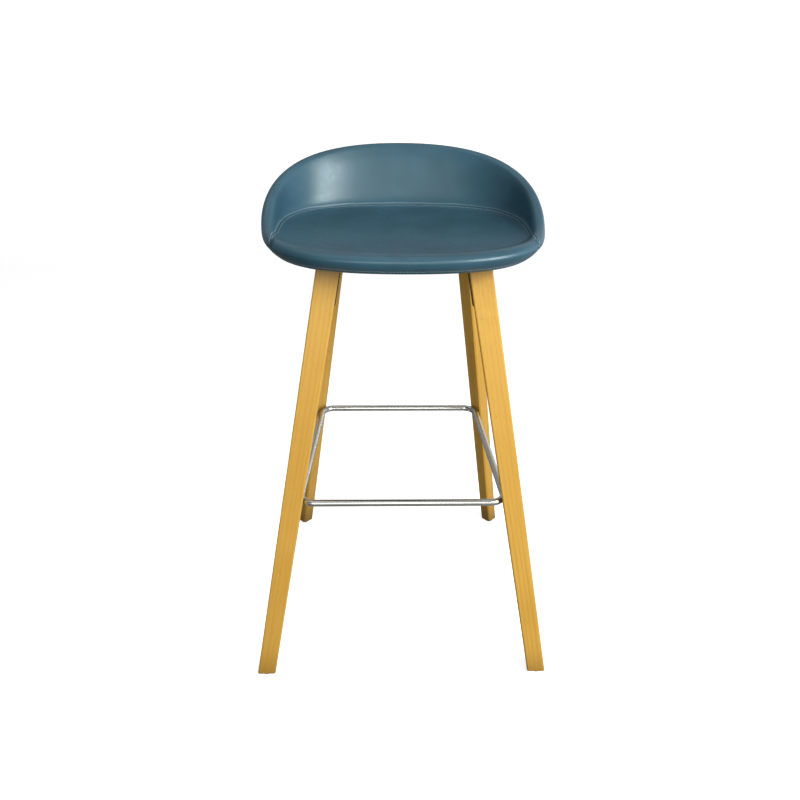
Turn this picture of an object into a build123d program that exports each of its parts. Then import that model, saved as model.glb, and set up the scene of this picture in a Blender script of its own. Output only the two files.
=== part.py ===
"""Bar stool with a low-back upholstered seat, four splayed wooden legs and a bent-rod footrest.

Frame: millimetres, +Z up, the sitter faces -Y, origin on the floor under the middle of the
footprint. Left and right are -X and +X, as seen from in front.

The seat is a stack: outer cover, moulded shell, foam, then two sewn inner covers (seat and back).
A strip of leather over soft edging joins them to the outer cover round the rim.
Under it a folded steel plate has one flange for each leg, bolted to the leg's inner face.
"""

import os
from math import pi, sin

from build123d import *

# ---- Driving dimensions, in millimetres ----------------------------------------------------

# Seat: the tub is the outside of the upholstery, as (height, half width, front, back) sections.
SEAT_UNDERSIDE = 718
SEAT_TOP = 752
BACK_TOP = 850
TUB_SECTIONS = (
    (SEAT_UNDERSIDE, 150, 119, 97),
    (722, 179, 151, 123),
    (731, 208, 179, 149),
    (748, 224.5, 190, 166),
    (770, 229, 191, 175),
    (800, 231.5, 191, 185.5),
    (835, 234, 191, 199),
    (BACK_TOP + 20, 236, 191, 212),
)
# The open inside, as (height, half width, front, back) sections.
HOLLOW_SECTIONS = (
    (SEAT_TOP, 206, 170, 150),
    (800, 212, 172, 167),
    (BACK_TOP + 20, 219, 174, 194),
)
CREASE_RADIUS = 14  # where the seat meets the back
FRONT_FULLNESS, BACK_FULLNESS = 0.74, 0.69  # of the tub in plan; 0.55 is an ellipse
PROFILE_STEPS = 200
# Side view of the rim, as (y, z): nearly level over the front, then rising to the back.
RIM_PROFILE = ((-230, 745), (-165, 750), (-105, 754), (-40, 764), (50, 796), (215, 855.5))
FRONT_WELT_DROP = 20  # the outer cover stops this far under the rim at the front
BACK_WELT_DROP = 24

LEATHER = 1.2
SHELL = 8
RIM_PADDING = 6  # foam over the shell's edge

# Seam between the seat panel and the back panel, in plan.
SEAM_HALF_WIDTH = 204
SEAM_BACK = 152
SEAM_FULLNESS = 0.71

# Legs: the outer face's middle at the floor and at the top, and the five-sided section.
LEG_TOP = 717
FOOT_Z = 2  # the wood stops here, the glide goes on to the floor
FRONT_FOOT_X, REAR_FOOT_X, FOOT_Y = 244, 216, 241
FRONT_TOP_X, REAR_TOP_X, TOP_Y = 117.4, 114.3, 112.9
FOOT_HALF_WIDTH, TOP_HALF_WIDTH = 15.75, 18.8
FOOT_FLAT, TOP_FLAT = 8, 10  # depth of the two short sides
RIDGE_HALF_WIDTH = 2
LEG_EDGE = 2.5
RIDGE_EDGE = 1.8
FOOT_EDGE = 1.5

# Footrest: one closed ring of round bar, resting on the inner faces of the legs.
FOOTREST_Z = 326
ROD_RADIUS = 6
FOOTREST_FRONT_X, FOOTREST_REAR_X, FOOTREST_Y = 175, 157.5, 174
FOOTREST_BEND = 25
GROOVE_CLEARANCE = 0.15

# Steel plate under the seat and its flanges.
PLATE = 4
FLANGE_WIDTH, FLANGE_LENGTH = 20, 62
SEAT_HOLE_X, SEAT_HOLE_Y = 75, 62

# Fasteners.
BOLT_RADIUS, BOLT_LENGTH = 3, 20
BOLT_HEAD_RADIUS, BOLT_HEAD = 5.25, 3.3
HEX_ACROSS = 4
WASHER_RADIUS, WASHER = 6.25, 1.6
INSERT_RADIUS, INSERT_LENGTH = 4.5, 13
BOLT_DEPTHS = (18, 46)  # below the plate, along the flange
SEAT_SCREW_LENGTH = 12.5
TEE_FLANGE_RADIUS, TEE_FLANGE = 8.5, 1.2
TEE_BARREL_RADIUS, TEE_BARREL = 4, 7
FOOTREST_SCREW_RADIUS, FOOTREST_SCREW_HEAD_RADIUS, FOOTREST_SCREW_LENGTH = 2.1, 4, 23
HEAD_RECESS = 1.2  # how far the footrest screws' heads sit under the rod's surface
FIT = 0.1  # radial clearance of a plain shank in its hole

# Glides: nylon discs with a pin, let into the feet.
GLIDE_RADIUS, GLIDE_INSET, GLIDE_EDGE = 8.25, 2, 0.8
GLIDE_PIN_RADIUS, GLIDE_PIN = 1.5, 14
GLIDE_BACK = 10.2  # from the leg's outer face to the glide's middle

CORNERS = {
    "front_left": (-1, -1),
    "front_right": (1, -1),
    "rear_left": (-1, 1),
    "rear_right": (1, 1),
}

os.makedirs("parts", exist_ok=True)


def write(part, name):
    """Labels a finished piece and writes its STEP file."""
    part.label = name
    export_step(part, f"parts/{name}.step")


def rounded_outline(half_width, front, back):
    """Four cubic curves round the seat, fuller at the front corners."""
    quarters = []
    for side, reach in ((1, back), (-1, back), (-1, -front), (1, -front)):
        fullness = BACK_FULLNESS if reach > 0 else FRONT_FULLNESS
        quarters.append(Bezier(
            (side * half_width, 0),
            (side * half_width, reach * fullness),
            (side * half_width * fullness, reach),
            (0, reach),
        ))
    return quarters


# ---- Seat solids that the upholstery is cut from -------------------------------------------


def inset_reach(reaches, inset, levels):
    """How far a wall reaches at the given levels once it has moved inwards by inset."""
    heights = [section[0] for section in TUB_SECTIONS]
    wall = Spline(*zip(reaches, heights))
    moved = []
    for step in range(PROFILE_STEPS + 1):
        point, along = wall @ (step / PROFILE_STEPS), wall % (step / PROFILE_STEPS)
        moved.append((point.Y + along.X * inset, point.X - along.Y * inset))
    found = []
    for level in levels:
        below, above = next(
            (pair for pair in zip(moved, moved[1:]) if pair[1][0] >= level), moved[-2:]
        )
        share = (level - below[0]) / (above[0] - below[0])
        found.append(below[1] + (above[1] - below[1]) * share)
    return found


def tub(inset):
    """The outside of the upholstered seat, moved inwards by inset all over."""
    top = TUB_SECTIONS[-1][0]
    levels = [z + inset * ((top - z) / (top - SEAT_UNDERSIDE)) ** 3 for z, *_ in TUB_SECTIONS]
    columns = [
        inset_reach([section[index] for section in TUB_SECTIONS], inset, levels)
        for index in (1, 2, 3)
    ]
    return outline_loft(zip(levels, *columns))


def outline_loft(sections):
    """A solid through rounded outlines given as (height, half width, front, back)."""
    with BuildPart() as solid:
        for height, half_width, front, back in sections:
            with BuildSketch(Plane.XY.offset(height)):
                with BuildLine():
                    rounded_outline(half_width, front, back)
                make_face()
        loft()
    return solid.part


def hollow(grow):
    """The open inside of the tub above the seat, grown outwards by grow."""
    bottom = HOLLOW_SECTIONS[0][0]
    with BuildPart() as solid:
        add(outline_loft(
            (height - grow if height == bottom else height, *(reach + grow for reach in reaches))
            for height, *reaches in HOLLOW_SECTIONS
        ))
        floor = solid.faces().sort_by(Axis.Z)[0]
        fillet(floor.edges(), CREASE_RADIUS + grow)
    return solid.part


def below_profile(points):
    """Everything under a side-view curve, as a slab that spans the whole width."""
    base = SEAT_UNDERSIDE - 50
    with BuildPart() as slab:
        with BuildSketch(Plane.YZ):
            with BuildLine():
                top = Spline(*points)
                Polyline(top @ 1, (points[-1][0], base), (points[0][0], base), top @ 0)
            make_face()
        extrude(amount=TUB_SECTIONS[-1][1] + 20, both=True)
    return slab.part


def below_rim(drop):
    """Everything under the rim, lowered by drop."""
    return below_profile([(y, z - drop) for y, z in RIM_PROFILE])


def below_welt():
    """Everything under the seam that joins the outer cover to the inner covers."""
    first, last = RIM_PROFILE[0][0], RIM_PROFILE[-1][0]
    lowered = []
    for y, z in RIM_PROFILE:
        share = (y - first) / (last - first)
        lowered.append((y, z - FRONT_WELT_DROP + (FRONT_WELT_DROP - BACK_WELT_DROP) * share))
    return below_profile(lowered)


def seam_prism():
    """The column inside the seam between seat and back: a flat front and a rounded back."""
    with BuildPart() as column:
        with BuildSketch(Plane.XY.offset(SEAT_UNDERSIDE - 20)):
            with BuildLine():
                for side in (1, -1):
                    Bezier(
                        (side * SEAM_HALF_WIDTH, 0),
                        (side * SEAM_HALF_WIDTH, SEAM_BACK * SEAM_FULLNESS),
                        (side * SEAM_HALF_WIDTH * SEAM_FULLNESS, SEAM_BACK),
                        (0, SEAM_BACK),
                    )
                Polyline(
                    (-SEAM_HALF_WIDTH, 0),
                    (-SEAM_HALF_WIDTH, -260),
                    (SEAM_HALF_WIDTH, -260),
                    (SEAM_HALF_WIDTH, 0),
                )
            make_face()
        extrude(amount=200)
    return column.part


# ---- Seat: shell, foam and covers ----------------------------------------------------------

seat_holes = GridLocations(2 * SEAT_HOLE_X, 2 * SEAT_HOLE_Y, 2, 2)

column = seam_prism()
shell_outside = tub(LEATHER)
shell_inside = tub(LEATHER + SHELL)
shell_ring = (shell_outside - shell_inside) & below_rim(LEATHER)
under_padding = below_rim(LEATHER + RIM_PADDING)

with BuildPart() as seat_shell:
    add(shell_ring)
    add(under_padding, mode=Mode.INTERSECT)
    with BuildSketch(Plane.XY.offset(SEAT_UNDERSIDE)):
        with seat_holes:
            Circle(TEE_BARREL_RADIUS)
    extrude(amount=20, mode=Mode.SUBTRACT)

with BuildPart() as rim_padding:
    add(shell_ring)
    add(under_padding, mode=Mode.SUBTRACT)

with BuildPart() as tee_nuts:
    nut_top = SEAT_UNDERSIDE + LEATHER + SHELL
    with BuildSketch(Plane.XY.offset(nut_top)):
        with seat_holes:
            Circle(TEE_FLANGE_RADIUS)
    extrude(amount=TEE_FLANGE)
    with BuildSketch(Plane.XY.offset(nut_top)):
        with seat_holes:
            Circle(TEE_BARREL_RADIUS)
    extrude(amount=-TEE_BARREL)
    with BuildSketch(Plane.XY.offset(nut_top + TEE_FLANGE)):
        with seat_holes:
            Circle(BOLT_RADIUS)
    extrude(amount=-(TEE_FLANGE + TEE_BARREL), mode=Mode.SUBTRACT)

with BuildPart() as foam:
    add(shell_inside)
    add(below_rim(LEATHER), mode=Mode.INTERSECT)
    add(hollow(LEATHER), mode=Mode.SUBTRACT)
    with BuildSketch(Plane.XY.offset(SEAT_UNDERSIDE + LEATHER)):
        with seat_holes:
            Circle(TEE_FLANGE_RADIUS)
    extrude(amount=SHELL + TEE_FLANGE + 0.6, mode=Mode.SUBTRACT)

with BuildPart() as seat_foam:
    add(foam.part)
    add(column, mode=Mode.INTERSECT)

with BuildPart() as back_foam:
    add(foam.part)
    add(column, mode=Mode.SUBTRACT)

with BuildPart() as outer_cover:
    add(tub(0))
    add(below_welt(), mode=Mode.INTERSECT)
    add(shell_outside, mode=Mode.SUBTRACT)
    with BuildSketch(Plane.XY.offset(SEAT_UNDERSIDE)):
        with seat_holes:
            Circle(BOLT_RADIUS + FIT)
    extrude(amount=10, mode=Mode.SUBTRACT)

grown_hollow = hollow(LEATHER)

with BuildPart() as liner:
    add(grown_hollow)
    add(hollow(0), mode=Mode.SUBTRACT)
    add(below_rim(0), mode=Mode.INTERSECT)

with BuildPart() as seat_cover:
    add(liner.part)
    add(column, mode=Mode.INTERSECT)

with BuildPart() as back_cover:
    add(liner.part)
    add(column, mode=Mode.SUBTRACT)

with BuildPart() as rim_cover:
    add(tub(0))
    add(below_rim(0), mode=Mode.INTERSECT)
    add(below_welt(), mode=Mode.SUBTRACT)
    add(grown_hollow, mode=Mode.SUBTRACT)
    add(shell_outside & below_rim(LEATHER), mode=Mode.SUBTRACT)

# ---- Legs ----------------------------------------------------------------------------------


def leg_section(side, end, share):
    """Corner points of a leg's section, a share of the way from the floor up to its top."""
    foot_x, top_x = (FRONT_FOOT_X, FRONT_TOP_X) if end < 0 else (REAR_FOOT_X, REAR_TOP_X)
    x = foot_x + (top_x - foot_x) * share
    y = FOOT_Y + (TOP_Y - FOOT_Y) * share
    half = FOOT_HALF_WIDTH + (TOP_HALF_WIDTH - FOOT_HALF_WIDTH) * share
    flat = FOOT_FLAT + (TOP_FLAT - FOOT_FLAT) * share
    ridge = y - flat - (half - RIDGE_HALF_WIDTH)
    return [
        (side * px, end * py)
        for px, py in (
            (x - half, y),
            (x + half, y),
            (x + half, y - flat),
            (x + RIDGE_HALF_WIDTH, ridge),
            (x - RIDGE_HALF_WIDTH, ridge),
            (x - half, y - flat),
        )
    ]


def inner_face(side, end, height):
    """Plane on a leg's inner face at a height: normal to the stool's middle, Y up the leg."""
    def middle(z):
        points = leg_section(side, end, z / LEG_TOP)
        (ax, ay), (bx, by) = points[4], points[5]
        return Vector((ax + bx) / 2, (ay + by) / 2, z)

    up = (middle(LEG_TOP) - middle(0)).normalized()
    ridge_point, side_point = leg_section(side, end, 0)[4:6]
    across = Vector(ridge_point[0] - side_point[0], ridge_point[1] - side_point[1], 0).normalized()
    normal = across.cross(up).normalized()
    if normal.dot(Vector(-side, -end, 0)) < 0:
        normal, across = -normal, -across
    return Plane(origin=middle(height), x_dir=across, z_dir=normal)


with BuildLine() as ring_path:
    Polyline(
        (-FOOTREST_FRONT_X, -FOOTREST_Y, FOOTREST_Z),
        (FOOTREST_FRONT_X, -FOOTREST_Y, FOOTREST_Z),
        (FOOTREST_REAR_X, FOOTREST_Y, FOOTREST_Z),
        (-FOOTREST_REAR_X, FOOTREST_Y, FOOTREST_Z),
        close=True,
    )
    fillet(ring_path.vertices(), FOOTREST_BEND)


def bent_rod(radius):
    """A closed ring of round bar along the footrest's path."""
    with BuildPart() as rod:
        for edge in ring_path.edges().filter_by(GeomType.LINE):
            with BuildSketch(Plane(origin=edge @ 0, z_dir=edge % 0)):
                Circle(radius)
            extrude(amount=edge.length)
        for edge in ring_path.edges().filter_by(GeomType.CIRCLE):
            with BuildSketch(Plane(origin=edge @ 0, z_dir=edge % 0)):
                Circle(radius)
            turning = (edge % 0).cross(edge % 1).Z
            bend = (edge % 0).get_angle(edge % 1)
            up = (0, 0, 1) if turning > 0 else (0, 0, -1)
            revolve(axis=Axis(edge.arc_center, up), revolution_arc=bend)
    return rod.part


footrest_ring = bent_rod(ROD_RADIUS)
groove_cutter = bent_rod(ROD_RADIUS + GROOVE_CLEARANCE)


def footrest_screw_plane(side, end):
    """Plane at the inside of the ring's bend, its normal pointing away from the leg."""
    corner_x = FOOTREST_FRONT_X if end < 0 else FOOTREST_REAR_X
    slope = (FOOTREST_FRONT_X - FOOTREST_REAR_X) / (2 * FOOTREST_Y)
    corner = Vector(side * corner_x, end * FOOTREST_Y, FOOTREST_Z)
    along_bar = Vector(-side, 0, 0)
    along_side = Vector(side * slope * end, -end, 0).normalized()
    inwards = (along_bar + along_side).normalized()
    half_angle = along_bar.get_angle(inwards) * pi / 180
    bend_middle = corner + inwards * (FOOTREST_BEND / sin(half_angle) - FOOTREST_BEND)
    return Plane(origin=bend_middle + inwards * (ROD_RADIUS - HEAD_RECESS), z_dir=inwards)


screw_planes = [footrest_screw_plane(side, end) for side, end in CORNERS.values()]
bolt_planes = []
for side, end in CORNERS.values():
    for depth in BOLT_DEPTHS:
        face = inner_face(side, end, SEAT_UNDERSIDE - PLATE)
        bolt_planes.append(
            Plane(origin=face.origin - face.y_dir * depth, x_dir=face.x_dir, z_dir=face.z_dir)
        )


def build_leg(side, end):
    """A five-sided tapered leg, grooved for the footrest and bored for its fasteners."""
    with BuildPart() as leg:
        for height, share in ((FOOT_Z, FOOT_Z / LEG_TOP), (LEG_TOP, 1)):
            with BuildSketch(Plane.XY.offset(height)):
                Polygon(*leg_section(side, end, share), align=None)
        loft(ruled=True)
        long_edges = leg.edges().filter_by(lambda e: e.length > LEG_TOP / 2)
        by_depth = long_edges.sort_by(lambda e: end * (e @ 0.5).Y)
        fillet(by_depth[:2], RIDGE_EDGE)
        long_edges = leg.edges().filter_by(lambda e: e.length > LEG_TOP / 2)
        fillet(long_edges.sort_by(lambda e: end * (e @ 0.5).Y)[-4:], LEG_EDGE)
        fillet(leg.faces().sort_by(Axis.Z)[0].edges(), FOOT_EDGE)
        add(groove_cutter, mode=Mode.SUBTRACT)
        # Blind holes for the two threaded inserts and the tips of their bolts.
        planes = [p for p in bolt_planes if p.origin.X * side > 0 and p.origin.Y * end > 0]
        for plane in planes:
            with BuildSketch(plane):
                Circle(INSERT_RADIUS)
            extrude(amount=-(INSERT_LENGTH + 3), mode=Mode.SUBTRACT)
        # Pilot hole for the footrest screw.
        with BuildSketch(footrest_screw_plane(side, end)):
            Circle(FOOTREST_SCREW_RADIUS)
        extrude(amount=-FOOTREST_SCREW_LENGTH, mode=Mode.SUBTRACT)
        # Recess for the glide and a hole for its pin.
        glide_y = end * (FOOT_Y - GLIDE_BACK)
        foot_x = side * (FRONT_FOOT_X if end < 0 else REAR_FOOT_X)
        for radius, top in ((GLIDE_RADIUS + FIT, FOOT_Z + GLIDE_INSET), (GLIDE_PIN_RADIUS, GLIDE_PIN + 4)):
            with BuildSketch(Plane.XY.offset(top)):
                with Locations((foot_x, glide_y)):
                    Circle(radius)
            extrude(amount=-top, mode=Mode.SUBTRACT)
    return leg


def build_glide(side, end):
    """A nylon disc with a pin, standing proud of the foot."""
    foot_x = side * (FRONT_FOOT_X if end < 0 else REAR_FOOT_X)
    with BuildPart() as glide:
        for radius, bottom, top in (
            (GLIDE_RADIUS, 0, FOOT_Z + GLIDE_INSET),
            (GLIDE_PIN_RADIUS, 1, FOOT_Z + GLIDE_PIN),
        ):
            with BuildSketch(Plane.XY.offset(bottom)):
                with Locations((foot_x, end * (FOOT_Y - GLIDE_BACK))):
                    Circle(radius)
            extrude(amount=top - bottom)
        fillet(glide.edges().sort_by(Axis.Z)[0], GLIDE_EDGE)
    return glide


# ---- Steel plate and fasteners -------------------------------------------------------------

plate_outline = []
for side, end in ((-1, -1), (1, -1), (1, 1), (-1, 1)):
    corner = inner_face(side, end, SEAT_UNDERSIDE)
    ends = [corner.origin + corner.x_dir * (offset * FLANGE_WIDTH / 2) for offset in (-1, 1)]
    ends.sort(key=lambda point: point.X * side, reverse=side == end)
    plate_outline += [(point.X, point.Y) for point in ends]

with BuildPart() as seat_plate:
    with BuildSketch(Plane.XY.offset(SEAT_UNDERSIDE - PLATE)):
        with BuildLine():
            Polyline(*plate_outline, close=True)
        make_face()
        with seat_holes:
            Circle(BOLT_RADIUS + FIT, mode=Mode.SUBTRACT)
    extrude(amount=PLATE)
    for side, end in CORNERS.values():
        face = inner_face(side, end, SEAT_UNDERSIDE - PLATE)
        with BuildSketch(face):
            with Locations((0, -FLANGE_LENGTH / 2 + PLATE)):
                RectangleRounded(FLANGE_WIDTH, FLANGE_LENGTH + 2 * PLATE, 4)
        extrude(amount=PLATE)
    split(bisect_by=Plane.XY.offset(SEAT_UNDERSIDE), keep=Keep.BOTTOM)
    for plane in bolt_planes:
        with BuildSketch(plane):
            Circle(BOLT_RADIUS + FIT)
        extrude(amount=PLATE + 1, mode=Mode.SUBTRACT)


def socket_bolt(plane, length, under_head):
    """A button-head bolt whose head sits under_head above the plane and shank goes below it."""
    base = plane.offset(under_head)
    with BuildPart() as bolt:
        with BuildSketch(base):
            Circle(BOLT_HEAD_RADIUS)
        extrude(amount=BOLT_HEAD, taper=18)
        with BuildSketch(base):
            Circle(BOLT_RADIUS - FIT / 2)
        extrude(amount=-length)
        with BuildSketch(base.offset(BOLT_HEAD)):
            RegularPolygon(HEX_ACROSS / 2, 6, major_radius=False)
        extrude(amount=-BOLT_HEAD * 0.6, mode=Mode.SUBTRACT)
    return bolt.part


def washer(plane, under):
    """A flat washer lying under above the plane."""
    with BuildPart() as ring:
        with BuildSketch(plane.offset(under)):
            Circle(WASHER_RADIUS)
            Circle(BOLT_RADIUS + FIT, mode=Mode.SUBTRACT)
        extrude(amount=WASHER)
    return ring.part


def threaded_insert(plane):
    """A brass insert in the leg, flush with the plane."""
    with BuildPart() as insert:
        with BuildSketch(plane):
            Circle(INSERT_RADIUS)
            Circle(BOLT_RADIUS, mode=Mode.SUBTRACT)
        extrude(amount=-INSERT_LENGTH)
    return insert.part


def countersunk_screw(plane):
    """A countersunk wood screw, its head flush with the plane."""
    head = FOOTREST_SCREW_HEAD_RADIUS - FOOTREST_SCREW_RADIUS
    with BuildPart() as screw:
        with BuildSketch(plane):
            Circle(FOOTREST_SCREW_HEAD_RADIUS)
        extrude(amount=-head, taper=45)
        with BuildSketch(plane):
            Circle(FOOTREST_SCREW_RADIUS)
        extrude(amount=-FOOTREST_SCREW_LENGTH)
        with BuildSketch(plane):
            RegularPolygon(1.5, 6, major_radius=False)
        extrude(amount=-1.4, mode=Mode.SUBTRACT)
    return screw.part


seat_planes = [
    Plane(origin=(x, y, SEAT_UNDERSIDE - PLATE), z_dir=(0, 0, -1))
    for x in (-SEAT_HOLE_X, SEAT_HOLE_X)
    for y in (-SEAT_HOLE_Y, SEAT_HOLE_Y)
]
footrest_screws = [countersunk_screw(plane) for plane in screw_planes]

with BuildPart() as footrest:
    add(footrest_ring)
    for plane in screw_planes:
        with BuildSketch(plane.offset(ROD_RADIUS)):
            Circle(FOOTREST_SCREW_HEAD_RADIUS)
        extrude(amount=-ROD_RADIUS, mode=Mode.SUBTRACT)
        with BuildSketch(plane):
            Circle(FOOTREST_SCREW_HEAD_RADIUS)
        extrude(amount=FOOTREST_SCREW_RADIUS - FOOTREST_SCREW_HEAD_RADIUS, taper=45, mode=Mode.SUBTRACT)
        with BuildSketch(plane):
            Circle(FOOTREST_SCREW_RADIUS)
        extrude(amount=-2 * ROD_RADIUS - 2, mode=Mode.SUBTRACT)

groups = {
    "leg_bolts": [socket_bolt(plane, BOLT_LENGTH, PLATE + WASHER) for plane in bolt_planes],
    "leg_washers": [washer(plane, PLATE) for plane in bolt_planes],
    "leg_inserts": [threaded_insert(plane) for plane in bolt_planes],
    "footrest_screws": footrest_screws,
    "seat_screws": [socket_bolt(plane, SEAT_SCREW_LENGTH, WASHER) for plane in seat_planes],
    "seat_washers": [washer(plane, 0) for plane in seat_planes],
}

# ---- Write every piece ---------------------------------------------------------------------

for corner, (side, end) in CORNERS.items():
    write(build_leg(side, end).part, f"{corner}_leg")
    write(build_glide(side, end).part, f"{corner}_glide")

for name, solids in groups.items():
    write(Compound(children=solids), name)

write(footrest.part, "footrest_ring")
write(seat_plate.part, "seat_plate")
write(seat_shell.part, "seat_shell")
write(rim_padding.part, "rim_padding")
write(tee_nuts.part, "tee_nuts")
write(seat_foam.part, "seat_foam")
write(back_foam.part, "back_foam")
write(seat_cover.part, "seat_cover")
write(back_cover.part, "back_cover")
write(rim_cover.part, "rim_cover")
write(outer_cover.part, "outer_cover")
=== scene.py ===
import math

import bmesh
import bpy
from mathutils import Matrix, Vector
from mathutils.bvhtree import BVHTree


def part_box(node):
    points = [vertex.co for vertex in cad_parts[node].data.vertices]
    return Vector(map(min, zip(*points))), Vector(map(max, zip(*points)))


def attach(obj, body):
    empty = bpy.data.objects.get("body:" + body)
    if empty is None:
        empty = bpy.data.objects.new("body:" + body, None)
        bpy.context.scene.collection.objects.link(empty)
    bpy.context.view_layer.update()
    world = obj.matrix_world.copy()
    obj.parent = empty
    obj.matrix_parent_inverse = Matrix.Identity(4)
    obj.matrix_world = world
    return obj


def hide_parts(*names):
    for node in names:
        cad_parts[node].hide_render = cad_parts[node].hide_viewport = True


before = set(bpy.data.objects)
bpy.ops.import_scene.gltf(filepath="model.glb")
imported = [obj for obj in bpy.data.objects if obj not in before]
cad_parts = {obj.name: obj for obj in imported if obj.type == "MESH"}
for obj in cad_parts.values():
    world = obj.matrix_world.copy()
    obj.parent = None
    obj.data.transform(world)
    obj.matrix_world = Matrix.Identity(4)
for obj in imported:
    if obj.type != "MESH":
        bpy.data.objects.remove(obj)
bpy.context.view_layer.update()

bl_info = {
    "name": "Upholstered bar stool",
    "version": (1, 0, 0),
    "blender": (4, 5, 0),
    "location": "View3D > Sidebar > Stool",
    "description": "Builds the leather seat, stitching, finishes and studio of a bar stool",
    "category": "Object",
}

MM = 0.001


# ---- Sizes and colours ---------------------------------------------------------------------


class SeatSettings(bpy.types.PropertyGroup):
    """Sizes of the upholstered seat."""

    leather_thickness: bpy.props.FloatProperty(
        name="Leather thickness", description="Thickness of each leather panel",
        default=1.2 * MM, unit="LENGTH",
    )
    rim_lift: bpy.props.FloatProperty(
        name="Rim lift", description="How far the padding stands above the rim line",
        default=2.0 * MM, unit="LENGTH",
    )
    seam_depth: bpy.props.FloatProperty(
        name="Seam depth", description="Depth of the groove where two panels are sewn",
        default=1.0 * MM, unit="LENGTH",
    )
    seam_width: bpy.props.FloatProperty(
        name="Seam width", description="Half width of the groove at a seam",
        default=1.5 * MM, unit="LENGTH",
    )
    stitch_length: bpy.props.FloatProperty(
        name="Stitch length", description="Length of one topstitch",
        default=3.4 * MM, unit="LENGTH",
    )
    stitch_gap: bpy.props.FloatProperty(
        name="Stitch gap", description="Gap between two topstitches",
        default=1.1 * MM, unit="LENGTH",
    )
    stitch_offset: bpy.props.FloatProperty(
        name="Stitch offset", description="Distance from the seam to each row of topstitch",
        default=2.6 * MM, unit="LENGTH",
    )
    thread_radius: bpy.props.FloatProperty(
        name="Thread radius", description="Radius of the sewing thread",
        default=0.32 * MM, unit="LENGTH",
    )
    leather_colour: bpy.props.FloatVectorProperty(
        name="Leather", description="Colour of the leather", subtype="COLOR", size=3,
        min=0, max=1, default=(0.022, 0.074, 0.109),
    )
    thread_colour: bpy.props.FloatVectorProperty(
        name="Thread", description="Colour of the sewing thread", subtype="COLOR", size=3,
        min=0, max=1, default=(0.34, 0.46, 0.50),
    )


class FinishSettings(bpy.types.PropertyGroup):
    """Colours of the wood and the metal."""

    wood_light: bpy.props.FloatVectorProperty(
        name="Light wood", description="Early wood between the grain lines", subtype="COLOR",
        size=3, min=0, max=1, default=(0.60, 0.345, 0.058),
    )
    wood_dark: bpy.props.FloatVectorProperty(
        name="Dark wood", description="Late wood in the grain lines", subtype="COLOR",
        size=3, min=0, max=1, default=(0.44, 0.215, 0.022),
    )
    steel_colour: bpy.props.FloatVectorProperty(
        name="Footrest steel", description="Colour of the stainless footrest", subtype="COLOR",
        size=3, min=0, max=1, default=(0.72, 0.71, 0.66),
    )


class StageSettings(bpy.types.PropertyGroup):
    """Studio light and camera."""

    key_power: bpy.props.FloatProperty(
        name="Key light", description="Power of the main soft box in watts", default=62,
    )
    fill_power: bpy.props.FloatProperty(
        name="Fill light", default=20,
        description="Power in watts of the front soft box, of which the overhead one has a share",
    )
    sky: bpy.props.FloatProperty(
        name="Surround", description="Brightness of the white surround", default=0.88,
    )
    focal_length: bpy.props.FloatProperty(
        name="Focal length", description="Camera focal length in millimetres", default=34.71,
    )


# ---- Seat surface --------------------------------------------------------------------------

# Side view of the rim as (y, z), in millimetres, and the seat's plan sections as
# (height, half width, front reach, back reach).
RIM_LINE = ((-230, 751), (-165, 756), (-105, 757), (-40, 763.5), (50, 796), (199, 850), (240, 865))
OUTSIDE = (
    (717.5, 151, 120, 98),
    (721.5, 182, 154, 126),
    (724.5, 196.5, 169, 138.5),
    (727.5, 204.5, 177, 145.5),
    (731.5, 212, 183.5, 152.5),
    (739, 219.6, 189, 160.6),
    (748, 226.3, 191.8, 167.8),
    (770, 230.8, 192.4, 177),
    (800, 233.2, 192.4, 187.4),
    (835, 235.4, 192.4, 200.8),
    (870, 237, 192.4, 213),
)
INSIDE = (
    (752, 208, 152, 151),
    (800, 213, 168, 169),
    (870, 219, 176, 195),
)
FRONT_FULLNESS, BACK_FULLNESS = 0.74, 0.69
SEAM_HALF_WIDTH, SEAM_BACK, SEAM_FULLNESS = 203, 149, 0.70
WELT_DROP = 24
SEAT_LEVEL = 750
QUARTER_STEPS = 56
PROFILE_SAMPLES = 420
CREST_SAMPLE = 290  # the profile sample nearest the rim's crest, which settles ties
FLAT_RIM_LIFT = 2  # the lift, in millimetres, that puts the crest on the rim line
RIM_SPREAD = 26  # how far each way the rim line is evened out
SHORTEST_STRIP = 0.4  # a panel narrower than this has no ring of leather there
FIRST_SEAM_SAMPLE = 20  # the seat's middle, up to this sample, has no seam
NARROWEST_BAND = 3  # a back panel narrower than this has no row of stitches at its seam
SHORTEST_RUN = 4  # a row of stitches needs more points than this
LOWER_WALL_TOP = 745 * MM  # below this the inside panel is all outer wall

# Mean width and depth of a leg's section, which its lean doesn't count.
LEG_WIDTH, LEG_DEPTH = 34 * MM, 27 * MM

# Brightness of the dim left side of the surround, and how much light above and below lose.
DIM_SIDE = (0.30, 0.31, 0.32)
DIM_ABOVE, DIM_BELOW = 0.68, 0.62
FLOOR_GLOW = 0.6
OVERHEAD_SHARE = 0.5  # of the fill light's power

# The camera, in metres and degrees.
CAMERA_PLACE = (-0.0341, -1.2607, 1.0718)
CAMERA_PITCH, CAMERA_YAW, CAMERA_ROLL = 26.867, -1.4528, 0.5572


def between(table, key):
    """Values of a table at a key, straight between its rows and past its ends."""
    rows = list(zip(table, table[1:]))
    low, high = next((pair for pair in rows if key <= pair[1][0]), rows[-1])
    share = (key - low[0]) / (high[0] - low[0])
    return [a + (b - a) * share for a, b in zip(low[1:], high[1:])]


def quarter(u, fullness):
    """Point on a unit quarter of the plan outline, from the side (u=0) to the end (u=1)."""
    v = 1 - u
    x = v**3 + 3 * v * v * u + 3 * v * u * u * fullness
    y = 3 * v * v * u * fullness + 3 * v * u * u + u**3
    return x, y


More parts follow.
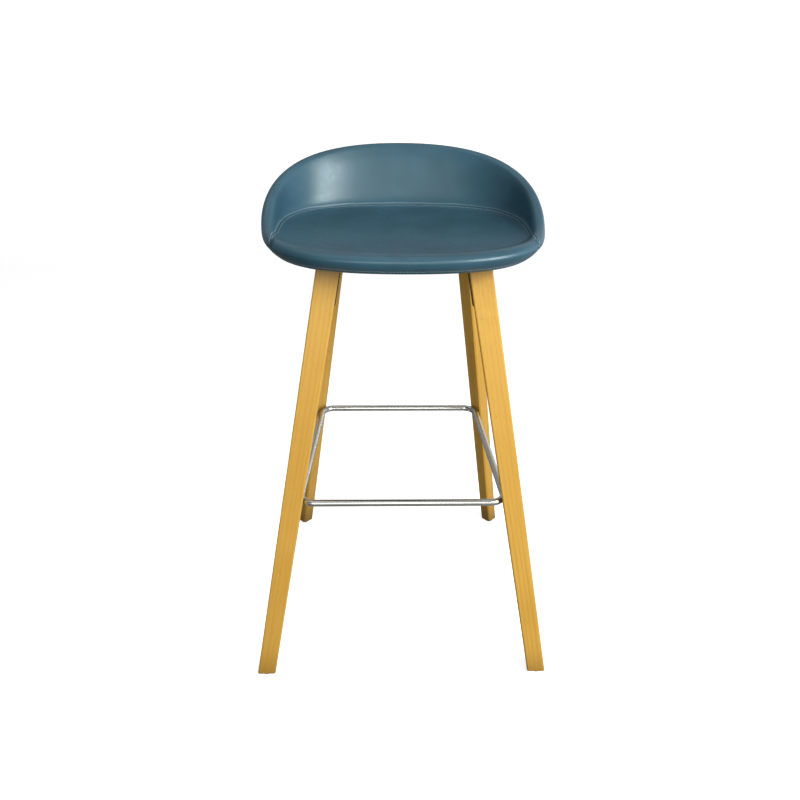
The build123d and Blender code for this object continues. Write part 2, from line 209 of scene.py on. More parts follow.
def directions():
    """Unit plan outline all the way round, as (x, y)."""
    found = []
    for x_sign, y_sign, forwards in ((1, 1, True), (-1, 1, False), (-1, -1, True), (1, -1, False)):
        for step in range(QUARTER_STEPS):
            u = step / QUARTER_STEPS
            u = u if forwards else 1 - u
            x, y = quarter(u, BACK_FULLNESS if y_sign > 0 else FRONT_FULLNESS)
            found.append((x_sign * x, y_sign * y))
    return found


def rim_height(y):
    """Height of the rim line, rounded where its straight runs meet."""
    offsets = (-1, -0.5, 0, 0.5, 1)
    return sum(between(RIM_LINE, y + share * RIM_SPREAD)[0] for share in offsets) / len(offsets)


def plan_point(section, x, y, z):
    """Point of a (half width, front, back) section in one direction, at a height."""
    half_width, front, back = section
    return Vector((half_width * x, (back if y > 0 else front) * y, z))


def control_points(x, y):
    """Control points of one profile, from the seat's middle over the rim to the underside."""
    top = 780.0
    for _ in range(6):
        top = rim_height(plan_point(between(OUTSIDE, top), x, y, 0).y)
    points = [
        plan_point((0, 0, 0), x, y, SEAT_LEVEL),
        plan_point((45, 35, 32), x, y, SEAT_LEVEL - 0.4),
        plan_point((95, 70, 68), x, y, SEAT_LEVEL - 0.6),
        plan_point((140, 98, 102), x, y, SEAT_LEVEL - 0.3),
        plan_point((176, 116, 128), x, y, SEAT_LEVEL + 0.4),
        plan_point((196, 130, 143), x, y, SEAT_LEVEL + 1.6),
    ]
    wall = top - SEAT_LEVEL
    for share in (0.06, 0.28, 0.55, 0.8):
        height = SEAT_LEVEL + wall * share + 2 * (1 - share)
        points.append(plan_point(between(INSIDE, height), x, y, height))
    inner = between(INSIDE, top)
    outer = between(OUTSIDE, top)
    lift = settings("seat").rim_lift / MM
    for across, drop in ((0.0, -5.0), (0.16, 1.6), (0.5, 3.0), (0.84, 1.6), (1.0, -5.0)):
        section = [low + (high - low) * across for low, high in zip(inner, outer)]
        height = top + drop - FLAT_RIM_LIFT + lift
        if across == 1.0:
            section = between(OUTSIDE, height)
        points.append(plan_point(section, x, y, height))
    outside = len(points)
    bottom = OUTSIDE[1][0]
    fall = top - 5 - bottom
    for share in (0.16, 0.34, 0.52, 0.7, 0.84, 0.94, 1.0):
        height = top - 5 - fall * share
        points.append(plan_point(between(OUTSIDE, height), x, y, height))
    for section in ((163, 134, 109), (146, 115, 94), (90, 70, 58), (40, 30, 26), (0, 0, 0)):
        points.append(plan_point(section, x, y, underside_height(section)))
    return tightened(points, outside)


def underside_height(section):
    """Height of the underside where it has a given half width."""
    (low, flat, *_), (high, wide, *_) = OUTSIDE[:2]
    return low + (high - low) * max(section[0] - flat, 0) / (wide - flat)


def tightened(points, first):
    """Control points moved, from the first one given on, so that the curve runs through them."""
    moved = list(points)
    for _ in range(3):
        for i in range(first, len(points) - 1):
            moved[i] = moved[i] + points[i] - (moved[i - 1] + 4 * moved[i] + moved[i + 1]) / 6
    return moved


def b_spline(points, samples):
    """Smooth curve that follows control points, clamped at both ends."""
    padded = [points[0] * 2 - points[1], *points, points[-1] * 2 - points[-2]]
    spans = len(points) - 1
    curve = []
    for step in range(samples + 1):
        place = spans * step / samples
        index = min(int(place), spans - 1)
        t = place - index
        a, b, c, d = padded[index : index + 4]
        curve.append((
            a * (1 - t) ** 3 + b * (3 * t**3 - 6 * t * t + 4)
            + c * (-3 * t**3 + 3 * t * t + 3 * t + 1) + d * t**3
        ) / 6)
    return curve


class Profile:
    """One radial cut of the seat, with its arc lengths and where the seams cross it."""

    def __init__(self, x, y):
        self.curve = b_spline(control_points(x, y), PROFILE_SAMPLES)
        self.arcs = [0.0]
        for before, after in zip(self.curve, self.curve[1:]):
            self.arcs.append(self.arcs[-1] + (after - before).length)
        highest = max(
            range(len(self.curve)),
            key=lambda i: self.curve[i].z - abs(i - CREST_SAMPLE) * 0.001,
        )
        crest = self.curve[highest]
        welt = next(
            i for i in range(highest, len(self.curve))
            if self.curve[i].z < rim_height(crest.y) - WELT_DROP
        )
        self.welt = self.arcs[welt]
        seam = next(
            (i for i in range(FIRST_SEAM_SAMPLE, welt) if self.outside_seam(self.curve[i])), welt
        )
        self.seam = self.arcs[seam]

    @staticmethod
    def outside_seam(point):
        """Whether a plan point has passed the seam between the seat and the back."""
        if abs(point.x) > SEAM_HALF_WIDTH:
            return True
        if point.y <= 0:
            return False
        if point.y >= SEAM_BACK:
            return True
        low, high = 0.0, 1.0
        for _ in range(18):
            middle = (low + high) / 2
            if quarter(middle, SEAM_FULLNESS)[1] * SEAM_BACK < point.y:
                low = middle
            else:
                high = middle
        return abs(point.x) > quarter(low, SEAM_FULLNESS)[0] * SEAM_HALF_WIDTH

    def at(self, arc):
        """Point at an arc length."""
        low, high = 0, len(self.arcs) - 1
        while high - low > 1:
            middle = (low + high) // 2
            if self.arcs[middle] <= arc:
                low = middle
            else:
                high = middle
        span = self.arcs[high] - self.arcs[low] or 1
        share = min(max((arc - self.arcs[low]) / span, 0), 1)
        return self.curve[low].lerp(self.curve[high], share)


def soften_seams(profiles):
    """Evens out the seam's place from one profile to the next."""
    for _ in range(2):
        seams = [p.seam for p in profiles]
        welts = [p.welt for p in profiles]
        count = len(profiles)
        for i, profile in enumerate(profiles):
            profile.welt = (welts[i - 1] + 2 * welts[i] + welts[(i + 1) % count]) / 4
            mean = (seams[i - 1] + 2 * seams[i] + seams[(i + 1) % count]) / 4
            profile.seam = min(mean, profile.welt)


SHEET = []


def seat_profiles():
    """All radial profiles of the seat, worked out once."""
    if not SHEET:
        SHEET.extend(Profile(x, y) for x, y in directions())
        soften_seams(SHEET)
    return SHEET


def panel_mesh(name, start, end, steps, closed_middle=None):
    """Grid between two arc lengths of every profile, closest together at its sewn edges."""
    seat = settings("seat")
    depth, width = seat.seam_depth / MM, seat.seam_width / MM
    profiles = seat_profiles()
    bm = bmesh.new()
    sewn_edge = bm.verts.layers.float.new("sewn_edge")
    rings = []
    for profile in profiles:
        first, last = start(profile), end(profile)
        if last - first < SHORTEST_STRIP:
            rings.append(None)
            continue
        ring = []
        for step in range(steps + 1):
            share = step / steps
            eased = (1 - math.cos(math.pi * share)) / 2
            share = share * 0.35 + eased * 0.65
            arc = first + (last - first) * share
            place = profile.at(arc)
            edges = []
            if closed_middle != "first":
                edges.append(arc - first)
            if closed_middle != "last":
                edges.append(last - arc)
            nearest = min(edges)
            vert = bm.verts.new(place * MM)
            vert[sewn_edge] = nearest
            ring.append(vert)
        rings.append(ring)
    for ring, following in zip(rings, rings[1:] + rings[:1]):
        if ring is None or following is None:
            continue
        for a, b, c, d in zip(ring, following, following[1:], ring[1:]):
            bm.faces.new((a, b, c, d))
    bmesh.ops.remove_doubles(bm, verts=bm.verts, dist=0.02 * MM)
    bmesh.ops.dissolve_degenerate(bm, edges=bm.edges, dist=0.01 * MM)
    bmesh.ops.recalc_face_normals(bm, faces=bm.faces)
    bm.normal_update()
    if closed_middle == "first":
        outwards = sum(f.normal.z for f in bm.faces)
    elif closed_middle == "last":
        outwards = -sum(f.normal.z for f in bm.faces)
    else:
        outwards = sum(
            f.normal.dot(Vector((f.calc_center_median().x, f.calc_center_median().y, 0)))
            for f in bm.faces if f.calc_center_median().z < LOWER_WALL_TOP
        )
    if outwards < 0:
        bmesh.ops.reverse_faces(bm, faces=bm.faces)
        bm.normal_update()
    for vert in bm.verts:
        fall = math.exp(-((vert[sewn_edge] / width) ** 2) / 2)
        vert.co -= vert.normal * depth * MM * fall
    mesh = bpy.data.meshes.new(name)
    bm.to_mesh(mesh)
    bm.free()
    return mesh


def add_object(name, mesh, material):
    """Puts a finished mesh into the scene as a piece of the stool."""
    piece = bpy.data.objects.new(name, mesh)
    bpy.context.scene.collection.objects.link(piece)
    mesh.materials.clear()
    mesh.materials.append(material)
    for face in mesh.polygons:
        face.use_smooth = True
    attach(piece, "root")
    return piece


def leather_panel(name, start, end, steps, closed_middle=None):
    """A leather panel of real thickness, its sewn edges turned in."""
    seat = settings("seat")
    mesh = panel_mesh(name, start, end, steps, closed_middle)
    piece = add_object(name, mesh, leather_material())
    skin = piece.modifiers.new("Leather thickness", "SOLIDIFY")
    skin.thickness = seat.leather_thickness
    skin.offset = -1
    skin.use_even_offset = False
    return piece


# ---- Shader groups -------------------------------------------------------------------------


class Nodes:
    """Small helper that adds and links shader nodes in one tree."""

    def __init__(self, tree):
        self.tree = tree

    def add(self, kind, inputs=None, **values):
        node = self.tree.nodes.new(kind)
        for name, value in values.items():
            setattr(node, name, value)
        for key, value in (inputs or {}).items():
            socket = node.inputs[key]
            if isinstance(value, bpy.types.NodeSocket):
                self.tree.links.new(value, socket)
            else:
                socket.default_value = value
        return node

    def math(self, operation, a, b=0.0, clamp=False):
        node = self.add("ShaderNodeMath", {0: a, 1: b}, operation=operation)
        node.use_clamp = clamp
        return node.outputs[0]

    def mix(self, factor, a, b, blend="MIX"):
        node = self.add("ShaderNodeMix", {0: factor}, data_type="RGBA", blend_type=blend)
        for index, value in ((6, a), (7, b)):
            if isinstance(value, bpy.types.NodeSocket):
                self.tree.links.new(value, node.inputs[index])
            else:
                node.inputs[index].default_value = (*value[:3], 1)
        return node.outputs[2]

    def noise(self, vector, scale, detail=4.0, roughness=0.55, distortion=0.0):
        node = self.add(
            "ShaderNodeTexNoise",
            {"Vector": vector, "Scale": scale, "Detail": detail, "Roughness": roughness,
             "Distortion": distortion},
        )
        return node.outputs["Fac"]

    def remap(self, value, low, high, to_low=0.0, to_high=1.0):
        node = self.add(
            "ShaderNodeMapRange",
            {"Value": value, "From Min": low, "From Max": high, "To Min": to_low, "To Max": to_high},
            interpolation_type="SMOOTHSTEP",
        )
        return node.outputs["Result"]


def new_group(name, inputs, outputs):
    """An empty shader group with named sockets, or the one that is already there."""
    if name in bpy.data.node_groups:
        return bpy.data.node_groups[name], None, None, None
    group = bpy.data.node_groups.new(name, "ShaderNodeTree")
    for label, kind, default in inputs:
        socket = group.interface.new_socket(label, in_out="INPUT", socket_type=kind)
        if default is not None:
            socket.default_value = default
    for label, kind in outputs:
        group.interface.new_socket(label, in_out="OUTPUT", socket_type=kind)
    made = Nodes(group)
    return group, made, made.add("NodeGroupInput").outputs, made.add("NodeGroupOutput").inputs


def soft_wear_group():
    """Slow, cloudy variation for colour and roughness, used by every finish."""
    group, n, given, out = new_group(
        "Handling marks",
        [("Vector", "NodeSocketVector", None), ("Scale", "NodeSocketFloat", 9.0)],
        [("Clouds", "NodeSocketFloat"), ("Rub", "NodeSocketFloat")],
    )
    if n:
        clouds = n.noise(given["Vector"], given["Scale"], detail=5)
        fine = n.noise(given["Vector"], n.math("MULTIPLY", given["Scale"], 14.0), detail=3)
        links = n.tree.links
        links.new(n.remap(clouds, 0.3, 0.7), out["Clouds"])
        links.new(n.remap(n.math("MULTIPLY", clouds, fine), 0.16, 0.4), out["Rub"])
    return group


def edge_wear_group():
    """Mask of corners that hands and feet polish."""
    group, n, given, out = new_group(
        "Edge wear",
        [("Vector", "NodeSocketVector", None), ("Break up", "NodeSocketFloat", 60.0)],
        [("Mask", "NodeSocketFloat")],
    )
    if n:
        pointed = n.add("ShaderNodeNewGeometry").outputs["Pointiness"]
        edge = n.remap(pointed, 0.51, 0.6)
        patchy = n.remap(n.noise(given["Vector"], given["Break up"], detail=3), 0.35, 0.65)
        n.tree.links.new(n.math("MULTIPLY", edge, patchy, clamp=True), out["Mask"])
    return group


def use_group(nodes, group, inputs):
    """Places a shader group and returns its outputs."""
    placed = nodes.add("ShaderNodeGroup", node_tree=group)
    for key, value in inputs.items():
        if isinstance(value, bpy.types.NodeSocket):
            nodes.tree.links.new(value, placed.inputs[key])
        else:
            placed.inputs[key].default_value = value
    return placed.outputs


def new_material(name):
    """A material with a bare Principled shader, its node helper and object coordinates."""
    material = bpy.data.materials.new(name)
    material.use_nodes = True
    tree = material.node_tree
    tree.nodes.clear()
    nodes = Nodes(tree)
    shader = nodes.add("ShaderNodeBsdfPrincipled")
    output = nodes.add("ShaderNodeOutputMaterial")
    tree.links.new(shader.outputs[0], output.inputs[0])
    place = nodes.add("ShaderNodeTexCoord").outputs["Object"]
    return material, nodes, shader, place


def bump(nodes, shader, *layers):
    """Chains bump layers given as (height, strength, distance) into the shader's normal."""
    normal = None
    for height, strength, distance in layers:
        inputs = {"Height": height, "Strength": strength, "Distance": distance}
        if normal:
            inputs["Normal"] = normal
        normal = nodes.add("ShaderNodeBump", inputs).outputs[0]
    nodes.tree.links.new(normal, shader.inputs["Normal"])


def leather_material():
    """Smooth dark teal leather with a fine pebble grain and a soft clear finish."""
    name = "Teal leather"
    if name in bpy.data.materials:
        return bpy.data.materials[name]
    colour = settings("seat").leather_colour
    material, n, shader, place = new_material(name)
    marks = use_group(n, soft_wear_group(), {"Vector": place, "Scale": 8.0})
    pebbles = n.add(
        "ShaderNodeTexVoronoi", {"Vector": place, "Scale": 1100.0, "Randomness": 0.9},
        feature="DISTANCE_TO_EDGE",
    ).outputs["Distance"]
    pebble_height = n.remap(pebbles, 0.0, 0.22)
    creases = n.remap(n.noise(place, 380.0, detail=3, distortion=0.6), 0.42, 0.6)
    dark = [channel * 0.82 for channel in colour]
    light = [min(channel * 1.22 + 0.004, 1) for channel in colour]
    base = n.mix(marks["Clouds"], dark, light)
    grain = n.mix(pebble_height, [c * 0.7 for c in colour], base)
    toned = n.mix(0.35, base, grain)
    n.tree.links.new(toned, shader.inputs["Base Color"])
    rough = n.remap(marks["Rub"], 0, 1, 0.40, 0.33)
    n.tree.links.new(n.math("ADD", rough, n.math("MULTIPLY", creases, 0.04)), shader.inputs["Roughness"])
    shader.inputs["Specular IOR Level"].default_value = 0.6
    shader.inputs["Specular Tint"].default_value = (0.82, 1.0, 1.0, 1)
    shader.inputs["Coat Weight"].default_value = 0.12
    shader.inputs["Coat Roughness"].default_value = 0.25
    bump(
        n, shader,
        (n.noise(place, 26.0, detail=3), 0.14, 1.2 * MM),
        (creases, 0.07, 0.12 * MM),
        (pebble_height, 0.10, 0.06 * MM),
    )
    return material


def thread_material():
    """Twisted polyester thread."""
    name = "Sewing thread"
    if name in bpy.data.materials:
        return bpy.data.materials[name]
    colour = settings("seat").thread_colour
    material, n, shader, place = new_material(name)
    marks = use_group(n, soft_wear_group(), {"Vector": place, "Scale": 60.0})
    twist = n.add(
        "ShaderNodeTexWave", {"Vector": place, "Scale": 900.0, "Distortion": 1.0},
        bands_direction="DIAGONAL",
    ).outputs["Fac"]
    shade = n.mix(marks["Clouds"], [c * 0.8 for c in colour], colour)
    n.tree.links.new(shade, shader.inputs["Base Color"])
    n.tree.links.new(n.remap(twist, 0, 1, 0.55, 0.7), shader.inputs["Roughness"])
    bump(n, shader, (twist, 0.4, 0.08 * MM))
    return material


def wood_material(name, lean, seed):
    """Lacquered honey-coloured wood whose grain runs along one leg, with painted shade from an occlusion
    mask darkening it near the seat and other parts.
    """
    finish = settings("finish")
    material, n, shader, place = new_material(name)
    split = n.add("ShaderNodeSeparateXYZ", {0: place}).outputs
    along_x = n.math("ADD", split[0], n.math("MULTIPLY", split[2], -lean.x))
    along_y = n.math("ADD", split[1], n.math("MULTIPLY", split[2], -lean.y))
    straight = n.add(
        "ShaderNodeCombineXYZ",
        {0: n.math("ADD", along_x, seed * 0.37), 1: n.math("ADD", along_y, seed * 0.21), 2: split[2]},
    ).outputs[0]
    stretched = n.add(
        "ShaderNodeVectorMath", {0: straight, 1: (1.0, 1.0, 0.045)}, operation="MULTIPLY"
    ).outputs[0]
    fibres = n.add(
        "ShaderNodeVectorMath", {0: straight, 1: (1.0, 1.0, 0.012)}, operation="MULTIPLY"
    ).outputs[0]
    flecked = n.add(
        "ShaderNodeVectorMath", {0: straight, 1: (1.0, 1.0, 0.16)}, operation="MULTIPLY"
    ).outputs[0]
    marks = use_group(n, soft_wear_group(), {"Vector": straight, "Scale": 6.0})
    worn = use_group(n, edge_wear_group(), {"Vector": straight, "Break up": 45.0})
    wander = n.noise(stretched, 34.0, detail=3)
    rings = n.add(
        "ShaderNodeTexWave",
        {"Vector": stretched, "Scale": 42.0, "Distortion": 5.0, "Detail": 3.0, "Detail Scale": 1.4},
        bands_direction="X",
    ).outputs["Fac"]
    lines = n.math("MULTIPLY", n.remap(rings, 0.45, 1.0), n.remap(wander, 0.3, 0.7))
    fine = n.noise(fibres, 1500.0, detail=3)
    flecks = n.remap(n.noise(flecked, 620.0, detail=1), 0.70, 0.78)
    pores = n.remap(n.noise(fibres, 3200.0, detail=1), 0.66, 0.74)
    light, dark = list(finish.wood_light), list(finish.wood_dark)
    base = n.mix(n.math("MULTIPLY", lines, 0.42), light, dark)
    patches = [c * s for c, s in zip(dark, (1.08, 1.1, 1.0))]
    base = n.mix(n.remap(marks["Clouds"], 0, 1, 0.0, 0.30), base, patches)
    base = n.mix(n.remap(fine, 0.3, 0.7, 0.0, 0.22), base, [c * 0.78 for c in dark])
    base = n.mix(n.math("MULTIPLY", pores, 0.20), base, [c * 0.45 for c in dark])
    base = n.mix(n.math("MULTIPLY", flecks, 0.5), base, [c * 0.42 for c in dark])
    base = n.mix(n.math("MULTIPLY", worn["Mask"], 0.35), base, [min(c * 1.12, 1) for c in light])
    # Painted shade: the wood's colour is darkened where nearby parts, such as the seat above the leg
    # tops, would shade it.
    painted_shade_occlusion = n.add("ShaderNodeAmbientOcclusion", {"Distance": 110 * MM}).outputs["AO"]
    base = n.mix(n.remap(painted_shade_occlusion, 0.35, 0.95, 0.75, 0.0), base, [c * 0.3 for c in dark])
    n.tree.links.new(base, shader.inputs["Base Color"])
    n.tree.links.new(n.remap(marks["Rub"], 0, 1, 0.42, 0.34), shader.inputs["Roughness"])
    shader.inputs["Specular IOR Level"].default_value = 0.35
    shader.inputs["Coat Weight"].default_value = 0.15
    shader.inputs["Coat Roughness"].default_value = 0.3
    bump(n, shader, (lines, 0.12, 0.2 * MM), (fine, 0.18, 0.08 * MM), (pores, 0.2, -0.08 * MM))
    return material


def metal_material(name, colour, rough, scratch_scale, metallic=1.0, bump_strength=0.12, wear=0.3):
    """Bare, plated or coated metal with fine handling scratches."""
    material, n, shader, place = new_material(name)
    marks = use_group(n, soft_wear_group(), {"Vector": place, "Scale": 16.0})
    worn = use_group(n, edge_wear_group(), {"Vector": place, "Break up": 120.0})
    scratches = n.noise(place, scratch_scale, detail=2)
    bright = [min(c * 1.15 + 0.03, 1) for c in colour]
    base = n.mix(marks["Clouds"], [c * 0.9 for c in colour], colour)
    base = n.mix(n.math("MULTIPLY", worn["Mask"], wear), base, bright)
    n.tree.links.new(base, shader.inputs["Base Color"])
    shader.inputs["Metallic"].default_value = metallic
    scuffed = n.remap(marks["Rub"], 0, 1, rough * 0.8, rough * 1.3)
    n.tree.links.new(scuffed, shader.inputs["Roughness"])
    bump(n, shader, (scratches, bump_strength, 0.05 * MM))
    return material


def plain_material(name, colour, rough, grain_scale, depth):
    """Moulded plastic or raw plywood with a fine surface texture."""
    material, n, shader, place = new_material(name)
    marks = use_group(n, soft_wear_group(), {"Vector": place, "Scale": 20.0})
    texture = n.noise(place, grain_scale, detail=4)
    base = n.mix(marks["Clouds"], [c * 0.85 for c in colour], colour)
    base = n.mix(n.remap(texture, 0.4, 0.7, 0, 0.3), base, [c * 0.6 for c in colour])
    n.tree.links.new(base, shader.inputs["Base Color"])
    n.tree.links.new(n.remap(marks["Rub"], 0, 1, rough, rough * 0.85), shader.inputs["Roughness"])
    bump(n, shader, (texture, 0.35, depth))
    return material


def finish_node(node, material):
    """Gives a CAD part its finish."""
    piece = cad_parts[node]
    if not piece.material_slots:
        piece.data.materials.append(material)
    for place in piece.material_slots:
        place.material = material


# ---- Pieces --------------------------------------------------------------------------------


class STOOL_OT_seat_panel(bpy.types.Operator):
    """Sew the leather panel that the sitter sits on"""

    bl_idname = "stool.seat_panel"
    bl_label = "Seat panel"

    def execute(self, context):
        panel = leather_panel("seat_panel", lambda p: 0, lambda p: p.seam, 64, "first")
        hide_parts("seat_cover", "seat_foam")
        return {"FINISHED"}


class STOOL_OT_back_panel(bpy.types.Operator):
    """Sew the leather panel that lines the back and sides and wraps over the rim"""

    bl_idname = "stool.back_panel"
    bl_label = "Back panel"

    def execute(self, context):
        panel = leather_panel("back_panel", lambda p: p.seam, lambda p: p.welt, 72)
        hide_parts("back_cover", "rim_cover", "back_foam", "rim_padding")
        return {"FINISHED"}


class STOOL_OT_outer_panel(bpy.types.Operator):
    """Sew the leather cover round the outside and under the seat"""

    bl_idname = "stool.outer_panel"
    bl_label = "Outer cover"

    def execute(self, context):
        panel = leather_panel(
            "outer_panel", lambda p: p.welt, lambda p: p.arcs[-1], 60, "last"
        )
        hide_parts("outer_cover")
        return {"FINISHED"}


def seam_line(pick):
    """A seam's points round the seat, in metres, as runs without gaps."""
    runs, run = [], []
    profiles = seat_profiles()
    for profile in profiles + profiles[:1]:
        arc = pick(profile)
        if arc is None:
            if len(run) > SHORTEST_RUN:
                runs.append(run)
            run = []
        else:
            run.append(profile.at(arc) * MM)
    if len(run) > SHORTEST_RUN:
        runs.append(run)
    if len(runs) > 1 and (runs[0][0] - runs[-1][-1]).length < 1 * MM:
        runs[0] = runs.pop()[:-1] + runs[0]
    return runs


def walk(points, pitch):
    """Evenly spaced points and directions along a line."""
    placed, carry = [], pitch / 2
    for start, end in zip(points, points[1:]):
        length = (end - start).length
        while carry < length:
            placed.append((start.lerp(end, carry / length), (end - start).normalized()))
            carry += pitch
        carry -= length
    return placed


def add_stitch(bm, centre, along, normal, length, radius):
    """One stitch: a short rounded arch of thread that dips into the leather at both ends."""
    across = normal.cross(along).normalized()
    rings = []
    steps, sides = 6, 6
    for step in range(steps + 1):
        share = step / steps * 2 - 1
        arch = math.cos(share * math.pi / 2)
        middle = centre + along * (share * length / 2) + normal * radius * (1.3 * arch - 0.9)
        swell = radius * (0.55 + 0.45 * arch)
        rings.append([
            bm.verts.new(
                middle + (across * math.cos(a) * 1.15 + normal * math.sin(a)) * swell
            )
            for a in (2 * math.pi * side / sides for side in range(sides))
        ])
    for ring, following in zip(rings, rings[1:]):
        for side in range(sides):
            after = (side + 1) % sides
            bm.faces.new((ring[side], ring[after], following[after], following[side]))
    bm.faces.new(list(reversed(rings[0])))
    bm.faces.new(rings[-1])


class STOOL_OT_stitching(bpy.types.Operator):
    """Lay the rows of topstitch along both sides of the seams"""

    bl_idname = "stool.stitching"
    bl_label = "Topstitching"

    def execute(self, context):
        seat = settings("seat")
        graph = context.evaluated_depsgraph_get()
        surfaces = []
        for name in ("seat_panel", "back_panel", "outer_panel"):
            surfaces.append(BVHTree.FromObject(bpy.data.objects[name], graph))
        bm = bmesh.new()
        offset = seat.stitch_offset / MM
        rows = (
            lambda p: p.seam - offset if p.welt - p.seam > NARROWEST_BAND else None,
            lambda p: p.seam + offset if p.welt - p.seam > NARROWEST_BAND + offset else None,
            lambda p: p.welt - offset,
        )
        for row in rows:
            for run in seam_line(row):
                for centre, along in walk(run, seat.stitch_length + seat.stitch_gap):
                    found = [tree.find_nearest(centre) for tree in surfaces]
                    place, normal, _, _ = min(found, key=lambda hit: hit[3])
                    add_stitch(bm, place, along, normal, seat.stitch_length, seat.thread_radius)
        bmesh.ops.recalc_face_normals(bm, faces=bm.faces)
        mesh = bpy.data.meshes.new("topstitching")
        bm.to_mesh(mesh)
        bm.free()
        add_object("topstitching", mesh, thread_material())
        return {"FINISHED"}


class STOOL_OT_legs(bpy.types.Operator):
    """Finish the four wooden legs and their glides"""

    bl_idname = "stool.legs"
    bl_label = "Legs"

    def execute(self, context):
        glide = plain_material("Dark nylon", (0.035, 0.032, 0.03), 0.5, 900.0, 0.05 * MM)
        for seed, corner in enumerate(("front_left", "front_right", "rear_left", "rear_right")):
            low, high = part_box(f"{corner}_leg")
            side = 1 if high.x > -low.x else -1
            end = 1 if high.y > -low.y else -1
            span = high.z - low.z
            outer, inner = (high.x, low.x) if side > 0 else (-low.x, -high.x)
            back, front = (high.y, low.y) if end > 0 else (-low.y, -high.y)
            lean = Vector((
                -side * (outer - inner - LEG_WIDTH) / span,
                -end * (back - front - LEG_DEPTH) / span,
            ))
            name = f"Honey wood, {corner.replace('_', ' ')}"
            finish_node(f"{corner}_leg", wood_material(name, lean, seed + 1))
            finish_node(f"{corner}_glide", glide)
        return {"FINISHED"}


class STOOL_OT_footrest(bpy.types.Operator):
    """Finish the bent stainless footrest"""

    bl_idname = "stool.footrest"
    bl_label = "Footrest"

    def execute(self, context):
        colour = list(settings("finish").steel_colour)
        finish_node("footrest_ring", metal_material("Stainless", colour, 0.2, 900.0))
        return {"FINISHED"}


class STOOL_OT_hardware(bpy.types.Operator):
    """Finish the plate, the fasteners and the parts inside the seat"""

    bl_idname = "stool.hardware"
    bl_label = "Plate and fasteners"

    def execute(self, context):
        zinc = metal_material("Zinc plate", [0.62, 0.62, 0.60], 0.32, 1400.0)
        coated = metal_material(
            "Black coated steel", [0.022, 0.022, 0.024], 0.45, 1600.0, metallic=0.0, wear=0.15
        )
        brass = metal_material("Turned brass", [0.70, 0.50, 0.20], 0.3, 1500.0)
        ply = plain_material("Raw plywood", (0.55, 0.38, 0.21), 0.7, 160.0, 0.2 * MM)
        for node in (
            "leg_bolts", "leg_washers", "footrest_screws", "seat_screws", "seat_washers", "tee_nuts"
        ):
            finish_node(node, zinc)
        finish_node("leg_inserts", brass)
        finish_node("seat_plate", coated)
        finish_node("seat_shell", ply)
        return {"FINISHED"}


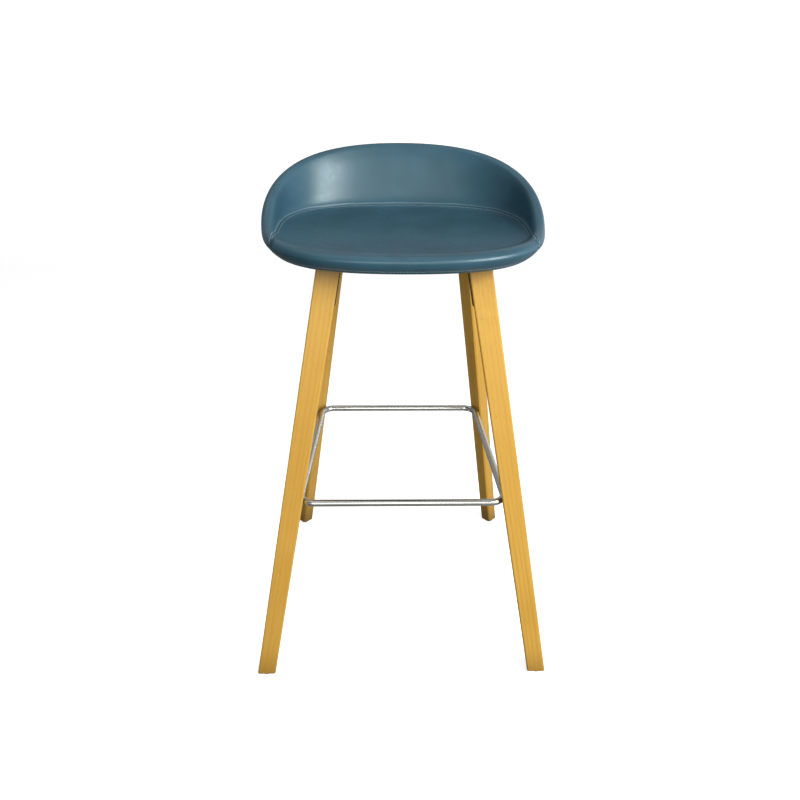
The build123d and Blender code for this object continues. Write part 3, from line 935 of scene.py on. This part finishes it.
class STOOL_OT_stage(bpy.types.Operator):
    """Set up the floor, the soft lights, the surround and the camera"""

    bl_idname = "stool.stage"
    bl_label = "Studio"

    def execute(self, context):
        stage = settings("stage")
        scene = context.scene
        self.floor()
        self.soft_box("key", (1.5, -1.45, 1.6), (0, 0, 0.7), 1.1, stage.key_power)
        self.soft_box("front", (-0.3, -2.6, 1.5), (0, 0, 0.6), 1.6, stage.fill_power)
        self.soft_box("overhead", (-0.3, 0.1, 2.6), (0, 0, 0.7), 2.2, stage.fill_power * OVERHEAD_SHARE)
        world = bpy.data.worlds.new("White surround")
        scene.world = world
        world.use_nodes = True
        background = world.node_tree.nodes["Background"]
        n = Nodes(world.node_tree)
        sides = n.add("ShaderNodeSeparateXYZ", {0: n.add("ShaderNodeTexCoord").outputs["Generated"]})
        shade = n.remap(sides.outputs[0], -0.9, 0.7)
        sky = n.mix(shade, DIM_SIDE, (1, 1, 1))
        above = n.remap(sides.outputs[2], 0.1, 0.9)
        sky = n.mix(above, sky, n.mix(DIM_ABOVE, sky, (0.0, 0.0, 0.0)))
        below = n.remap(sides.outputs[2], -0.45, 0.05, DIM_BELOW, 0.0)
        sky = n.mix(below, sky, (0.0, 0.0, 0.0))
        n.tree.links.new(sky, background.inputs[0])
        background.inputs[1].default_value = stage.sky
        camera_data = bpy.data.cameras.new("Camera")
        camera = bpy.data.objects.new("Camera", camera_data)
        scene.collection.objects.link(camera)
        camera_data.sensor_width = 36
        camera_data.lens = stage.focal_length
        camera.location = CAMERA_PLACE
        pitch, yaw, roll = map(math.radians, (CAMERA_PITCH, CAMERA_YAW, CAMERA_ROLL))
        camera.matrix_world = (
            Matrix.Translation(camera.location)
            @ Matrix.Rotation(yaw, 4, "Z")
            @ Matrix.Rotation(math.pi / 2 - pitch, 4, "X")
            @ Matrix.Rotation(roll, 4, "Z")
        )
        scene.camera = camera
        scene.view_settings.view_transform = "Standard"
        return {"FINISHED"}

    def floor(self):
        """A wide pale floor with a soft curve up behind, which gives the stool no bounced light."""
        bm = bmesh.new()
        profile = [(-3.0, 0.0), (2.2, 0.0)]
        for step in range(1, 13):
            angle = math.pi / 2 * step / 12
            profile.append((2.2 + math.sin(angle) * 1.0, 1.0 - math.cos(angle) * 1.0))
        profile.append((3.2, 4.0))
        rows = [[bm.verts.new((x, y, z)) for y, z in profile] for x in (-5.0, 5.0)]
        for left, right, next_left, next_right in zip(rows[0], rows[1], rows[0][1:], rows[1][1:]):
            bm.faces.new((left, right, next_right, next_left))
        mesh = bpy.data.meshes.new("floor")
        bm.to_mesh(mesh)
        bm.free()
        floor = bpy.data.objects.new("floor", mesh)
        bpy.context.scene.collection.objects.link(floor)
        for face in mesh.polygons:
            face.use_smooth = True
        material, n, shader, place = new_material("Pale floor")
        cloudy = n.noise(place, 3.0, detail=2)
        pale = n.mix(cloudy, (0.90, 0.90, 0.90), (0.93, 0.93, 0.93))
        n.tree.links.new(pale, shader.inputs["Base Color"])
        shader.inputs["Roughness"].default_value = 0.8
        shader.inputs["Emission Color"].default_value = (1, 1, 1, 1)
        shader.inputs["Emission Strength"].default_value = FLOOR_GLOW
        mesh.materials.append(material)
        floor.visible_diffuse = False
        floor.visible_glossy = False

    def soft_box(self, name, place, aim, size, power):
        """A square area light aimed at a point."""
        data = bpy.data.lights.new(name, "AREA")
        data.shape = "SQUARE"
        data.size = size
        data.energy = power
        light = bpy.data.objects.new(name, data)
        bpy.context.scene.collection.objects.link(light)
        light.location = place
        light.rotation_euler = (Vector(aim) - Vector(place)).to_track_quat("-Z", "Y").to_euler()


class STOOL_PT_panel(bpy.types.Panel):
    """Sizes, colours and build steps of the stool"""

    bl_idname = "STOOL_PT_panel"
    bl_label = "Bar stool"
    bl_space_type = "VIEW_3D"
    bl_region_type = "UI"
    bl_category = "Stool"

    def draw(self, context):
        layout = self.layout
        for group in ("seat", "finish", "stage"):
            values = settings(group)
            box = layout.box()
            for key in values.bl_rna.properties.keys():
                if key not in ("rna_type", "name"):
                    box.prop(values, key)
        for step in STEPS:
            layout.operator(step.bl_idname)


# ---- Registration and build ----------------------------------------------------------------

STEPS = (
    STOOL_OT_seat_panel,
    STOOL_OT_back_panel,
    STOOL_OT_outer_panel,
    STOOL_OT_stitching,
    STOOL_OT_legs,
    STOOL_OT_footrest,
    STOOL_OT_hardware,
    STOOL_OT_stage,
)
GROUPS = {"seat": SeatSettings, "finish": FinishSettings, "stage": StageSettings}


def settings(group):
    """The scene's values for one group of settings."""
    return getattr(bpy.context.scene, f"stool_{group}")


def register():
    for group, kind in GROUPS.items():
        bpy.utils.register_class(kind)
        setattr(bpy.types.Scene, f"stool_{group}", bpy.props.PointerProperty(type=kind))
    for kind in (*STEPS, STOOL_PT_panel):
        bpy.utils.register_class(kind)


def unregister():
    for kind in (STOOL_PT_panel, *reversed(STEPS)):
        bpy.utils.unregister_class(kind)
    for group, kind in GROUPS.items():
        delattr(bpy.types.Scene, f"stool_{group}")
        bpy.utils.unregister_class(kind)


def main():
    register()
    for step in STEPS:
        family, action = step.bl_idname.split(".")
        getattr(getattr(bpy.ops, family), action)()


if __name__ == "__main__":
    main()
